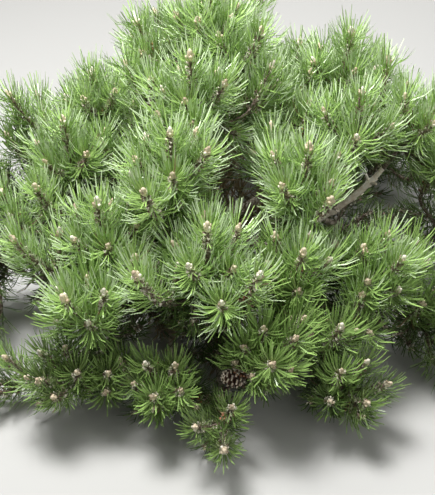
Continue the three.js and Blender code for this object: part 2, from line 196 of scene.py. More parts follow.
def placed(row):
    hub = heading(row["azimuth"], 0) * row["reach"]
    hub.z = row["height"]
    share = shareOf(row["height"], *posture["heights"])
    elevation = row.get("elevation", lerp(*posture["elevations"], share))
    foot = hub - heading(row["azimuth"], elevation) * twig["stemLength"]
    foot.z = max(foot.z, twig["lowest"])
    axis = (hub - foot).normalized()
    row.update(hub=hub, foot=foot, axis=axis, middle=hub + axis * shoot["length"] / 3)
    row["splay"] = lerp(*shoot["splays"], share)


def boughCurve(row):
    tip = row["foot"] - row["axis"] * clearance["joint"]
    if "on" in row:
        parent = curves[row["on"]]
        start = bezier(parent, row["at"])
        away = (bezierWay(parent, row["at"]) + (tip - start).normalized()).normalized()
    else:
        height, rise = bough["rings"][row["ring"]]
        start = stemAxis(height)
        away = heading(row["azimuth"] + row.get("veer", 0), rise)
    span = (tip - start).length
    pull = min(bough["endPull"] * span, (tip.z - bough["lowest"]) / row["axis"].z)
    return start, start + away * bough["startPull"] * span, tip - row["axis"] * pull, tip


def inOwnSpace(point, row, margin):  # nearer to this mass's middle than to any other's
    if point.z < clearance["ground"] + margin:
        return False
    for other in crown:
        if other is row:
            continue
        apart = other["middle"] - row["middle"]
        halfway = (other["middle"] + row["middle"]) / 2
        if (point - halfway).dot(apart) / apart.length >= -(margin + clearance["masses"] / 2):
            return False
    return True


def whorlsOf(row, index):
    draw = seeded(seedOfMass["first"] + seedOfMass["step"] * index)
    hub, axis = row["hub"], row["axis"]
    whorls = [dict(hub=hub, axis=axis, turn=row["turn"], laterals=row.get("laterals", whorl["laterals"]))]
    sides = row.get("sides", whorl["sides"])
    for i in range(sides):
        turn = row["turn"] + 360 * (i + 0.5) / sides + around(draw, shoot["turnJitter"])
        spread = whorl["spread"] * (1 + around(draw, whorl["spreadJitter"]))
        for share in whorl["shares"]:
            at = hub - axis * whorl["setback"] + tipped(axis, 90, turn) * share * spread
            at.z = max(at.z, whorl["lowest"])
            if inOwnSpace(at, row, whorl["margin"]):
                sideAxis = tipped(axis, whorl["sideSplay"], turn)
                whorls.append(dict(hub=at, axis=sideAxis, turn=turn, laterals=whorl["sideLaterals"]))
                break
    for one in whorls:
        reach = shoot["length"] * (1 + around(draw, shoot["lengthJitter"]))
        one["shoots"] = [dict(start=one["hub"], way=one["axis"], length=shoot["leaderShare"] * reach)]
        for i in range(one["laterals"]):
            tilt = row["splay"] + around(draw, shoot["splayJitter"])
            turn = one["turn"] + 360 * i / one["laterals"] + around(draw, shoot["turnJitter"])
            way = tipped(one["axis"], tilt, turn)
            way.z += shoot["lift"]
            start = one["hub"] - one["axis"] * whorl["stagger"] * (i + 1)
            reach = shoot["length"] * (1 + around(draw, shoot["lengthJitter"]))
            one["shoots"].append(dict(start=start, way=way.normalized(), length=reach))
    return whorls


curves = {}
for row in crown:
    placed(row)
for row in crown:
    curves[row["name"]] = boughCurve(row)
for index, row in enumerate(crown):
    row["whorls"] = whorlsOf(row, index)
massNodes = [row["name"] + "Mass" for row in crown]
print("growth:", sum(len(row["whorls"]) for row in crown), "whorls on", len(crown), "boughs")


# Finer growth and the tints are drawn from here, in the order of the pieces below.
chance = np.random.default_rng(74)

twigTurn = 137.5  # degrees from one side twig to the next
goldenTurn = pi * (3 - sqrt(5))  # radians from one needle pair or cone scale to the next

cellFill = (0.9, 0.96)  # a limb's share of its bake cell's width and height


def addObject(name, data):
    made = bpy.data.objects.new(name, data)
    bpy.context.scene.collection.objects.link(made)
    return made


class JoinedMesh:  # the triangles of one piece, each with a material slot and a bake place
    def __init__(self):
        self.points, self.faces, self.slots, self.places, self.count = [], [], [], [], 0

    def add(self, points, faces, slots, places=()):
        self.points.append(np.asarray(points, np.float32))
        self.faces.append(np.asarray(faces, np.int32) + self.count)
        self.slots.append(np.broadcast_to(slots, len(faces)))
        self.places.append(np.asarray(places, np.float32).reshape(-1, 2))
        self.count += len(points)

    def build(self, name, materials, replacedNodes=massNodes, smooth=True):
        points, faces = np.concatenate(self.points) * mm, np.concatenate(self.faces)
        places = np.concatenate(self.places)
        mesh = bpy.data.meshes.new(name)
        mesh.from_pydata(points, [], faces)
        mesh.polygons.foreach_set("material_index", np.concatenate(self.slots))
        mesh.polygons.foreach_set("use_smooth", np.full(len(faces), smooth))
        if len(places):
            mesh.uv_layers.new(name="OFBake").data.foreach_set("uv", places.ravel())
        for material in materials:
            mesh.materials.append(material)
        mesh.validate()
        piece = addObject(name, mesh)
        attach(piece, "root")
        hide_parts(*replacedNodes)
        print(name + ":", len(faces), "triangles")


def curvePoints(curve, steps):
    return [bezier(curve, i / steps) for i in range(steps + 1)]


def lengthOf(points):
    return sum((b - a).length for a, b in zip(points, points[1:]))


def asRows(points):
    return np.array([tuple(point) for point in points])


def unit(vectors):
    return vectors / np.linalg.norm(vectors, axis=1, keepdims=True)


def framesAlong(points):  # two directions square to a path at each of its points, without a twist
    ways = unit(np.gradient(points, axis=0))
    side = np.array(across(Vector(ways[0]))[0])
    sides = []
    for way in ways:
        side = side - way * side.dot(way)
        side /= np.linalg.norm(side)
        sides.append(side)
    sides = np.array(sides)
    return sides, np.cross(ways, sides)


def gridCell(index, columns, rows):  # left, low, width and height of one limb's bake cell
    return (index % columns) / columns, (index // columns) / rows, 1 / columns, 1 / rows


def skinOf(rings, sides):  # faces between the rings of a limb, and their places from 0 to 1
    i, j = np.divmod(np.arange((rings - 1) * sides), sides)
    k = (j + 1) % sides
    a, b, c, d = i * sides + j, i * sides + k, (i + 1) * sides + k, (i + 1) * sides + j
    corners = np.array([(0, 0), (1, 0), (1, 1), (0, 0), (1, 1), (0, 1)])
    places = (np.stack([j, i], 1)[:, None] + corners) / (sides, rings - 1)
    return np.stack([a, b, c, a, c, d], 1).reshape(-1, 3), places.reshape(-1, 2)


def inCell(places, sides, cell):  # bake places of a tube's skin, foot and head
    left, low, width, height = cell
    rim = np.arange(sides)[:, None]
    foot = np.stack([(rim + [1, 0, 0.5]) / sides, np.zeros((sides, 3))], 2)
    head = np.stack([(rim + [0, 1, 0.5]) / sides, np.ones((sides, 3))], 2)
    places = np.concatenate([places, foot.reshape(-1, 2), head.reshape(-1, 2)])
    return places * [width * cellFill[0], height * cellFill[1]] + [left, low]


def addTube(joined, points, radii, sides, slot, cell=None):  # radii by ring, or by ring and side
    points = np.asarray(points, float)
    rings = len(points)
    level, upper = framesAlong(points)
    angles = 2 * pi * np.arange(sides) / sides
    spokes = np.cos(angles)[None, :, None] * level[:, None] + np.sin(angles)[None, :, None] * upper[:, None]
    radii = np.broadcast_to(np.asarray(radii, float).reshape(rings, -1), (rings, sides))
    skin = (points[:, None] + spokes * radii[..., None]).reshape(-1, 3)
    faces, places = skinOf(rings, sides)
    rim, last, middle = np.arange(sides), (rings - 1) * sides, np.full(sides, rings * sides)
    after = (rim + 1) % sides
    foot, head = np.stack([after, rim, middle], 1), np.stack([last + rim, last + after, middle + 1], 1)
    places = inCell(places, sides, cell) if cell else ()
    joined.add(np.concatenate([skin, points[[0, -1]]]), np.concatenate([faces, foot, head]), slot, places)


coatRoughness = 0.3


def newMaterial(name):
    material = bpy.data.materials.new(name)
    material.use_nodes = True
    return material, material.node_tree.nodes["Principled BSDF"]


def plainMaterial(name, colour, roughness, coat=0.0):  # one even colour, dealt out by spray or by face
    material, shader = newMaterial(name)
    shader.inputs["Base Color"].default_value = (*colour, 1)
    shader.inputs["Roughness"].default_value = roughness
    shader.inputs["Coat Weight"].default_value = coat
    shader.inputs["Coat Roughness"].default_value = coatRoughness
    return material


barkLook = dict(
    Old=dict(
        dark=(0.17, 0.135, 0.105), mid=(0.5, 0.43, 0.35), pale=(0.72, 0.66, 0.57),
        crack=(0.35, 0.33, 0.31), patch=90, fleck=420, bump=0.8,
    ),
    Young=dict(
        dark=(0.09, 0.068, 0.05), mid=(0.25, 0.195, 0.145), pale=(0.6, 0.55, 0.46),
        crack=(0.35, 0.33, 0.31), patch=240, fleck=900, bump=0.5,
    ),
    # painted light: the bare bough's bark is near white with pale cracks, partly weathered grey and partly
    # painted light, so that it reads as lit inside the crown
    WeatheredLit=dict(
        dark=(0.66, 0.55, 0.43), mid=(0.92, 0.83, 0.7), pale=(0.97, 0.94, 0.86),
        crack=(0.88, 0.84, 0.78), patch=70, fleck=420, bump=0.3,
    ),
)

sharedSockets = dict(  # the same on every bark
    patch=dict(Detail=6, Roughness=0.62), fleck=dict(Detail=3), height={1: 0.35}, shade=dict(Factor=1),
    bump=dict(Distance=0.0012), rough={"To Min": 0.95, "To Max": 0.72},
)
toneAt = dict(dark=0.32, mid=0.5, pale=0.72)  # where each colour stands in the patches
barkSpecular = 0.25
crackWidth = 0.12
platesPerPatch = 1.1


def addNode(tree, kind, values):  # a shader node with some of its sockets set
    node = tree.nodes.new("ShaderNode" + kind)
    for socket, value in values.items():
        node.inputs[socket].default_value = value
    return node


def addRamp(tree, stops):  # a colour ramp, its stops given from the lowest up
    ramp = addNode(tree, "ValToRGB", {})
    elements = ramp.color_ramp.elements
    for place, _ in stops[1:-1]:
        elements.new(place)
    for element, (place, colour) in zip(elements, stops):
        element.position = place
        element.color = (*colour, 1)
    return ramp


def barkMaterial(name, look):  # dark cracks, brown plates and pale grey flecks
    material, shader = newMaterial(name)
    tree, shared = material.node_tree, sharedSockets
    shader.inputs["Specular IOR Level"].default_value = barkSpecular
    place = addNode(tree, "TexCoord", {})
    patch = addNode(tree, "TexNoise", dict(shared["patch"], Scale=look["patch"]))
    plates = addNode(tree, "TexVoronoi", dict(Scale=look["patch"] * platesPerPatch))
    plates.feature = "DISTANCE_TO_EDGE"
    fleck = addNode(tree, "TexNoise", dict(shared["fleck"], Scale=look["fleck"]))
    tone = addRamp(tree, [(at, look[name]) for name, at in toneAt.items()])
    crack = addRamp(tree, [(0, look["crack"]), (crackWidth, (1, 1, 1))])
    shade = addNode(tree, "Mix", shared["shade"])
    shade.data_type = "RGBA"
    shade.blend_type = "MULTIPLY"
    height = addNode(tree, "Math", shared["height"])
    height.operation = "MULTIPLY_ADD"
    bump = addNode(tree, "Bump", dict(shared["bump"], Strength=look["bump"]))
    rough = addNode(tree, "MapRange", shared["rough"])
    for pattern in (patch, plates, fleck):
        tree.links.new(place.outputs["Object"], pattern.inputs["Vector"])
    for source, output, target, socket in (
        (patch, "Fac", tone, "Fac"),
        (plates, "Distance", crack, "Fac"),
        (tone, "Color", shade, 6),  # the mix's colour sockets are reached by number
        (crack, "Color", shade, 7),
        (shade, 2, shader, "Base Color"),
        (fleck, "Fac", height, 0),
        (patch, "Fac", height, 2),
        (height, "Value", bump, "Height"),
        (bump, "Normal", shader, "Normal"),
        (patch, "Fac", rough, "Value"),
        (rough, "Result", shader, "Roughness"),
    ):
        tree.links.new(source.outputs[output], target.inputs[socket])
    return material


oldBark, youngBark, weatheredLitBark = [barkMaterial(name + " bark", look) for name, look in barkLook.items()]


stemRelief = dict(plate=15, plateStretch=0.45, depth=2.2, fine=5, fineDepth=0.8)

stemSheet = dict(skin=0.8, foot=(0.99, 0.9), head=(0.82, 0.88))  # heights in the bake sheet: rim and middle


def relief(point, size):  # even noise from -1 to 1 at a grain of that many millimetres
    return noise.noise(Vector(point) / size)


def makeStem():
    sides, rings = stem["sides"], stem["rings"]
    points = []
    for i in range(rings + 1):
        t = i / rings
        flare = max(0, 1 - t / stem["waistAt"]) ** 2
        shoulder = shareOf(t, stem["shoulderAt"], 1)
        radius = lerp(stem["waistRadius"], stem["footRadius"], flare)
        radius -= (stem["waistRadius"] - stem["headRadius"]) * shoulder**2
        centre = stemAxis(stem["height"] * t)
        for j in range(sides):
            angle = 2 * pi * j / sides
            ridge = 1 + stem["lobeDepth"] * max(0, 1 - t) ** stem["lobeFade"] * cos(stem["lobes"] * angle)
            out = Vector((cos(angle), sin(angle), 0))
            at = centre + out * radius * ridge
            stretched = (at.x, at.y, at.z * stemRelief["plateStretch"])
            plate = abs(relief(stretched, stemRelief["plate"])) * stemRelief["depth"]
            fine = relief(at, stemRelief["fine"]) * stemRelief["fineDepth"]
            points.append(at + out * (plate + fine - stemRelief["depth"] / 2))
    points += [Vector(), stemAxis(stem["height"]) + Vector((0, 0, stem["domeHeight"]))]
    faces, places = skinOf(rings + 1, sides)
    foot, head, last = len(points) - 2, len(points) - 1, rings * sides
    (footRim, footMiddle), (headRim, headMiddle) = stemSheet["foot"], stemSheet["head"]
    ends, endPlaces = [], []
    for j in range(sides):
        k = (j + 1) % sides
        ends += [(k, j, foot), (last + j, last + k, head)]
        u, v = j / sides, (j + 1) / sides
        endPlaces += [(v, footRim), (u, footRim), (u, footMiddle)]
        endPlaces += [(u, headRim), (v, headRim), (u, headMiddle)]
    places = np.concatenate([places * [1, stemSheet["skin"]], endPlaces])
    joined = JoinedMesh()
    joined.add(asRows(points), np.concatenate([faces, ends]), 0, places)
    joined.build("StemBark", [oldBark], ["Stem"])


makeStem()


# Boughs are tapering limbs with scaly bark, and a knot with dead stubs at each old whorl.

boughBark = dict(
    sides=16, ringStep=4.5, fewestRings=12, plate=9, depth=1.5, fine=3.5, fineDepth=0.5,
    collar=0.35, collarReach=0.05, skinFill=0.9, lengthSteps=40,
)

knot = dict(
    first=60, every=78, shift=9, shiftTurn=2.4, tipRoom=20, swell=0.34, reach=6,
    stubs=3, stubLength=(7, 17), stubRadius=2.6, stubSides=7, stubSteps=3, stubTilt=62,
    tiltSway=12, turnByKnot=47, turnByBough=31, swayByStub=5.1, swayByKnot=2.3,
    rootWidth=1.25, taper=0.16, inset=0.5, cellLow=0.92, cellHeight=0.06,
)

# one bough is bare up to its mass, and stands clear
bareBough = dict(
    name="RightShoulder", span=(0.64, 0.98), points=14, room=24, sideRoom=26, needleRoom=11,
    openReach=340, openAzimuth=-8, openRise=31, steps=20, firstStep=4,
)


def addStubs(joined, curve, index, n, t, radius, slot, cell):  # dead stubs around one knot
    centre, way = bezier(curve, t), bezierWay(curve, t)
    steps = knot["stubSteps"]
    for s in range(knot["stubs"]):
        turn = 360 * s / knot["stubs"] + knot["turnByKnot"] * n + knot["turnByBough"] * index
        out = tipped(way, knot["stubTilt"] + knot["tiltSway"] * sin(n + s), turn)
        sway = sin(knot["swayByStub"] * s + knot["swayByKnot"] * n + index)
        reach = lerp(*knot["stubLength"], 0.5 + 0.5 * sway)
        if (centre + out * (radius + reach)).z < clearance["ground"] + knot["stubRadius"]:
            continue
        path = [centre + out * (radius * knot["inset"] + reach * k / steps) for k in range(steps + 1)]
        radii = [knot["stubRadius"] * (knot["rootWidth"] - knot["taper"] * k) for k in range(steps + 1)]
        addTube(joined, path, radii, knot["stubSides"], slot, cell)


def makeBoughs():
    look = boughBark
    joined = JoinedMesh()
    for index, row in enumerate(crown):
        curve = curves[row["name"]]
        startRadius = bough["forkRadius"] if "on" in row else bough["stemRadius"]
        length = lengthOf(curvePoints(curve, look["lengthSteps"]))
        rings = max(look["fewestRings"], round(length / look["ringStep"]))
        points = curvePoints(curve, rings)
        knots = np.arange(knot["first"], length - knot["tipRoom"], knot["every"])
        knots = knots + knot["shift"] * sin(index * knot["shiftTurn"])
        radii = np.zeros((rings + 1, look["sides"]))
        level, upper = framesAlong(asRows(points))
        for i in range(rings + 1):
            t = i / rings
            radius = lerp(startRadius, bough["tipRadius"], t)
            radius *= 1 + look["collar"] * exp(-t / look["collarReach"])
            for at in knots:
                radius *= 1 + knot["swell"] * exp(-(((t * length - at) / knot["reach"]) ** 2))
            for j in range(look["sides"]):
                angle = 2 * pi * j / look["sides"]
                out = Vector(level[i] * cos(angle) + upper[i] * sin(angle))
                at = points[i] + out * radius
                plate = abs(relief(at, look["plate"])) * look["depth"] * radius / startRadius
                fine = relief(at, look["fine"]) * look["fineDepth"]
                radii[i, j] = radius + plate + fine - look["depth"] / 3  # keeps the mean girth
        left, low, width, height = gridCell(index, len(crown), 1)
        # the bare bough takes the weathered bark that carries painted light
        slot = int(row["name"] == bareBough["name"])
        addTube(joined, points, radii, look["sides"], slot, (left, low, width, height * look["skinFill"]))
        stubCell = left, knot["cellLow"], width, knot["cellHeight"]
        for n, at in enumerate(knots):
            t = at / length
            addStubs(joined, curve, index, n, t, lerp(startRadius, bough["tipRadius"], t), slot, stubCell)
    joined.build("BoughBark", [oldBark, weatheredLitBark], [row["name"] + "Bough" for row in crown])


makeBoughs()


# Twigs are each mass's own stem, its side twigs and the year's shoots.

twigBark = dict(
    columns=40, rows=40, steps=8, sides=7, shootSteps=7, shootSides=5, shootRadii=(3.4, 3.0), bulge=0.22,
    bow=0.3, upright=0.7, lowest=10,
)

sideGrown = (0, 1, 3)  # of a side whorl's shoots, those that grow out

shortShoot = dict(
    tilt=66, lengths=(34, 46), leadPlaces=(0.3, 0.5, 0.7), sidePlaces=(0.5,), lowestTip=12, overlap=6,
)

# inside the crown the boughs still bear shaded shoots and dead twigs, all but the bare one
innerShoot = dict(
    span=(0.14, 0.95), greenFrom=0.4, spacing=28, tilt=58, tiltJitter=8, lengths=(38, 56), lift=0.35,
    stemShare=1.8,
    dense=dict(  # these boughs show through gaps, so they bear more shaded shoots
        RightBackFoot=2.4, BackRightFoot=2.2, LeftBackFoot=2.4, LeftShoulder=1.6, LeftRear=1.6, BackLeft=1.5,
    ),
)
deadTwig = dict(
    span=(0.12, 0.9), spacing=26, tilt=64, tiltJitter=8, lengths=(40, 95), lift=0, stemShare=1.2, dense={},
    radii=(1.7, 0.8), sides=4,
)
insideSteps = 20  # of a bough's curve, to take its length

shoots = []  # of every shoot its kind, path and length, and whether it leads its whorl
branches = []  # older wood that still holds some needles


def bowedPath(start, way, length, upright):  # leaves outwards and turns up towards its bud
    tip = start + way * length
    sag = (upright - way * upright.dot(way)) * length * twigBark["bow"]
    middle = (start + tip) / 2 - sag
    path = []
    for i in range(twigBark["shootSteps"] + 1):
        t = i / twigBark["shootSteps"]
        point = start * (1 - t) ** 2 + middle * 2 * t * (1 - t) + tip * t * t
        point.z = max(point.z, twigBark["lowest"])
        path.append(point)
    return asRows(path)


def growShoots(row, one):
    upright = (one["axis"] + Vector((0, 0, twigBark["upright"]))).normalized()
    for number, place in enumerate(one["shoots"]):
        if one["laterals"] == whorl["sideLaterals"] and number not in sideGrown:
            continue
        for share in shoot["shares"]:
            length = place["length"] * share
            if inOwnSpace(place["start"] + place["way"] * length, row, 0):
                path = bowedPath(place["start"], place["way"], length, upright)
                shoots.append(("year", path, length, number == 0))
                break


def growShortShoots(row, path, places, turn):
    for n, t in enumerate(places):
        i = round(t * (len(path) - 1))
        way = (path[i] - path[i - 1]).normalized()
        out = tipped(way, shortShoot["tilt"], turn + twigTurn * (n + 1))
        length = lerp(*shortShoot["lengths"], chance.random())
        tip = path[i] + out * length
        if tip.z > shortShoot["lowestTip"] and inOwnSpace(tip, row, -shortShoot["overlap"]):
            shoots.append(("short", bowedPath(path[i], out, length, way), length, False))


bareCurve = curves[bareBough["name"]]
barePoints = curvePoints(bareCurve, bareBough["steps"])[bareBough["firstStep"]:]
bareShown = [bezier(bareCurve, t) for t in np.linspace(*bareBough["span"], bareBough["points"])]
bareOpen = heading(bareBough["openAzimuth"], bareBough["openRise"])


def clearOfBareBough(points):
    for point in points:
        if any((point - bare).length < bareBough["room"] for bare in barePoints):
            return False
        for bare in bareShown:
            along = min(bareBough["openReach"], max(0, (point - bare).dot(bareOpen)))
            if (point - bare - bareOpen * along).length < bareBough["sideRoom"]:
                return False
    return True


def growInside(row, look):  # what leaves one bough along its way, in a slow spiral
    if row["name"] == bareBough["name"]:
        return []
    curve, (low, high) = curves[row["name"]], look["span"]
    count = max(1, round(lengthOf(curvePoints(curve, insideSteps)) * (high - low) / look["spacing"]))
    count = round(count * look["dense"].get(row["name"], 1))
    first = chance.uniform(0, 360)
    grown = []
    for n in range(count):
        t = lerp(low, high, (n + chance.random()) / count)
        start, way = bezier(curve, t), bezierWay(curve, t)
        out = tipped(way, look["tilt"] + chance.normal(0, look["tiltJitter"]), first + twigTurn * n)
        out.z += look["lift"]
        length = lerp(*look["lengths"], chance.random())
        length *= lerp(look["stemShare"], 1, (t - low) / (high - low))
        tip = start + out * length
        if tip.z > shortShoot["lowestTip"] and clearOfBareBough((start.lerp(tip, 0.5), tip)):
            grown.append((bowedPath(start, out.normalized(), length, way), length, t))
    return grown


def massTwig(row, number):  # path and radii of the leading twig, or of one that forks from it
    hub, foot, axis, steps = row["hub"], row["foot"], row["axis"], twigBark["steps"]
    if number == 0:
        path = [foot.lerp(hub, k / steps) for k in range(steps + 1)]
        return path, np.linspace(twig["footRadius"], twig["hubRadius"], steps + 1)
    one = row["whorls"][number]
    fork = foot.lerp(hub, twig["forkAt"] + twig["forkStep"] * (number - 1))
    span = (one["hub"] - fork).length
    leaves, enters = axis * twig["startPull"] * span, one["axis"] * twig["endPull"] * span
    curve = (fork, fork + leaves, one["hub"] - enters, one["hub"])
    return curvePoints(curve, steps), np.linspace(twig["sideRadius"], twig["hubRadius"], steps + 1)


def makeTwigs():
    look = twigBark
    joined = JoinedMesh()
    cells = (gridCell(n, look["columns"], look["rows"]) for n in range(look["columns"] * look["rows"]))

    def addUneven(path, radii, sides):
        wobble = 1 + look["bulge"] * chance.uniform(-1, 1, (len(path), sides))
        addTube(joined, path, radii[:, None] * wobble, sides, 0, next(cells))

    for row in crown:
        for number, one in enumerate(row["whorls"]):
            path, radii = massTwig(row, number)
            addUneven(path, radii, look["sides"])
            branches.append(asRows(path))
            growShoots(row, one)
            growShortShoots(row, path, shortShoot["sidePlaces" if number else "leadPlaces"], one["turn"])
        for path, length, t in growInside(row, innerShoot):
            shoots.append(("inner" if t > innerShoot["greenFrom"] else "dead", path, length, False))
        for path, _, _ in growInside(row, deadTwig):
            radii = np.linspace(*deadTwig["radii"], len(path))
            addTube(joined, path, radii, deadTwig["sides"], 0, next(cells))
    for _, path, _, _ in shoots:
        addUneven(path, np.linspace(*look["shootRadii"], len(path)), look["shootSides"])
    joined.build("Twigs", [youngBark])


makeTwigs()
print("shoots:", len(shoots), "on", len(branches), "older twigs")


# Needles stand in pairs that spring from a sheath, lean off the twig and curve up.

needle = dict(
    perLength=70, lengths=(36, 53), lengthJitter=0.11, lengthRange=(-0.25, 0.12), leastReach=0.3,
    radius=1.0, shadedShare=0.86, footWidth=0.7, ridge=1.1, tipWidth=0.55, footDepth=0.5,
    angles=(58, 29), angleCurve=1.3, angleJitter=9, outerSpread=22, turnJitter=0.25,
    pairSplay=8, splayRange=(0.4, 1.5), kneeAt=0.6, forward=0.24, rise=0.5, curl=(0.4, 1.6),
    lowest=2.5, proud=18, lowShare=0.72, heights=(60, 190),
    thinShare=0.85, thinFacing=0.74, thinTo=0.86, thinUpright=(0.55, 0.85),
    mostInPiece=19_500,
)

needleSets = dict(  # pairs on 70 mm of shoot, the shares of it that bear them, and how shaded they are
    year=dict(pairs=60, span=(0.1, 0.95), share=1, shade=0, dryShare=0.0015),
    short=dict(pairs=44, span=(0.1, 1), share=0.8, shade=0.4, dryShare=0.002),
    inner=dict(pairs=40, span=(0.1, 1), share=0.8, shade=0.6, dryShare=0.006),
    dead=dict(pairs=26, span=(0.1, 1), share=0.75, shade=1.2, dryShare=0.8),
)

oldNeedle = dict(pairs=46, bareShare=0.12, angle=66, length=41, dryShare=0.02, darkShare=0.5)

boughNeedle = dict(spacing=2.6, reach=45, mostOfBough=0.5, steps=30, angle=62, length=38, dryShare=0.02)

# painted shade: the lower a spray stands and the more shaded its kind, the darker the needle tint it is
# dealt
daylight = dict(  # full at that height, and each tint needs at least so much of it
    fullHeight=250, jitter=0.1, tints=(("freshLit", 0.8), ("mid", 0.52), ("deep", 0.27)),
)

# from pale to dark the needle tints are lighter and darker copies of one green: painted light and shade,
# with some of the young needles' own lighter colour; dry is dead needles
needleTints = dict(  # colour, roughness and coat
    pale=((0.61, 0.75, 0.46), 0.3, 0.3),
    freshLit=((0.345, 0.525, 0.15), 0.32, 0.3),
    mid=((0.245, 0.38, 0.108), 0.34, 0.25),
    deep=((0.138, 0.215, 0.054), 0.38, 0.1),
    dark=((0.06, 0.108, 0.022), 0.46, 0.0),
    dry=((0.3, 0.22, 0.12), 0.6, 0.0),
)

tintsBeside = dict(  # one step lighter and one step darker
    freshLit=("pale", "mid"), mid=("freshLit", "deep"), deep=("mid", "dark"), dark=("deep", "dark"),
    dry=("dry", "dry"),
)
darkerEvery = 3  # one needle in so many is a step darker than its spray

sheath = dict(length=7.5, radius=2.3, footDepth=0.6, fold=0.5, darkShare=0.4)

seedCone = dict(
    length=32, tilt=78, stalk=2, room=15, roomsAt=(0.2, 0.8), openReach=130, openTurn=-12, openRise=41,
)

# a cone's mass, with the number of its whorl there and its turn around that
coneBearers = dict(FrontLow=(2, 165), LeftShoulder=(1, 250), RightShoulder=(2, 290), BackLeft=(1, 270))
coneRows = [row for row in crown if row["name"] in coneBearers]

reachLow = np.array(cadLow) / mm - needle["proud"]
reachLow[2] = -np.inf  # needle["lowest"] minds the ground
reachHigh = np.array(cadHigh) / mm + needle["proud"]


def coneAxis(row):  # foot and direction of the seed cone that a mass bears
    number, turn = coneBearers[row["name"]]
    one = row["whorls"][number]
    way = tipped(one["axis"], seedCone["tilt"], turn)
    return one["hub"] + way * seedCone["stalk"], way


# needles keep out of a seed cone and of the bare bough, and of the open side that each looks to
openRooms = []
for bare in bareShown:
    openRooms.append((np.array(bare), np.array(bareOpen), bareBough["openReach"], bareBough["needleRoom"]))
for row in coneRows:
    foot, way = coneAxis(row)
    out = np.array(heading(row["azimuth"] + seedCone["openTurn"], seedCone["openRise"]))
    for share in seedCone["roomsAt"]:
        centre = np.array(foot + way * seedCone["length"] * share)
        openRooms.append((centre, out, seedCone["openReach"], seedCone["room"]))


testedAt = (0.2, 0.4, 0.6, 0.8, 1.0)  # shares of a needle


def clearOfRooms(made):
    keep = np.ones(len(made), bool)
    for centre, out, openReach, room in openRooms:
        for share in testedAt:
            at = made[:, 0] + (made[:, 2] - made[:, 0]) * share - centre
            along = np.clip(at @ out, 0, openReach)
            keep &= np.linalg.norm(at - along[:, None] * out, axis=1) > room
    return made[keep]


def pathAt(path, t):  # points and directions at shares of a path's steps
    place = np.clip(t, 0, 1) * (len(path) - 1)
    low = np.minimum(place.astype(int), len(path) - 2)
    share = (place - low)[:, None]
    return path[low] * (1 - share) + path[low + 1] * share, unit(path[low + 1] - path[low])


sheathsMade = []


def needlesAlong(path, shares, angles, length, twigRadius, spread=0, sheathed=False):
    pairs = len(shares)
    points, ways = pathAt(path, shares)
    level = unit(np.stack([-ways[:, 1], ways[:, 0], np.full(pairs, 1e-5)], 1))
    upper = np.cross(ways, level)
    turns = goldenTurn * np.arange(pairs) + chance.uniform(0, 2 * pi)
    turns = turns + chance.normal(0, needle["turnJitter"], pairs)
    out = np.cos(turns)[:, None] * level + np.sin(turns)[:, None] * upper
    outside = unit(np.array([[*path[-1][:2], 1e-3]]))[0]  # level, away from the stem
    facing = out @ outside
    kept = np.ones(pairs, bool)
    if sheathed:  # on an upright shoot the outer side is thinly set, so that the twig shows
        low, high = needle["thinUpright"]
        thin = needle["thinShare"] * np.clip((ways[:, 2] - low) / (high - low), 0, 1)
        kept = (facing < needle["thinFacing"]) | (shares > needle["thinTo"]) | (chance.random(pairs) > thin)
    angles = angles + spread * shares * np.clip(facing, 0, 1)
    angles = np.radians(angles + chance.normal(0, needle["angleJitter"], pairs))
    lean = np.cos(angles)[:, None] * ways + np.sin(angles)[:, None] * out
    beside = np.cross(ways, out)
    bases = points + out * twigRadius * needle["footDepth"]
    if sheathed:
        sheathsMade.append(np.stack([points + out * twigRadius * sheath["footDepth"], lean, beside], 1))
    made = []
    for hand in (-1, 1):
        splay = np.radians(needle["pairSplay"]) * hand * chance.uniform(*needle["splayRange"], pairs)
        first = unit(lean + beside * np.tan(splay)[:, None])
        curl = chance.uniform(*needle["curl"], (pairs, 1))
        second = unit(first + (ways * needle["forward"] + [0, 0, needle["rise"]]) * curl)
        jitter = chance.normal(0, needle["lengthJitter"], pairs).clip(*needle["lengthRange"])
        reach = length * (1 + jitter)
        whole = first * needle["kneeAt"] + second * (1 - needle["kneeAt"])
        end = bases + whole * reach[:, None]
        over = np.maximum(np.maximum(end - reachHigh, reachLow - end), 0)
        shrink = 1 - (over / np.maximum(np.abs(end - bases), 1)).max(1)
        reach = reach * np.clip(shrink, needle["leastReach"], 1)
        knee = bases + first * (reach * needle["kneeAt"])[:, None]
        tip = knee + second * (reach * (1 - needle["kneeAt"]))[:, None]
        knee[:, 2] = np.maximum(knee[:, 2], needle["lowest"])
        tip[:, 2] = np.maximum(tip[:, 2], needle["lowest"])
        made.append(np.stack([bases, knee, tip, out], 1)[kept])
    return clearOfRooms(np.concatenate(made))


sprays = {tint: [] for tint in tintsBeside}


def deal(made, tint, dryShare):
    dry = chance.random(len(made)) < dryShare
    sprays[tint].append(made[~dry])
    sprays["dry"].append(made[dry])


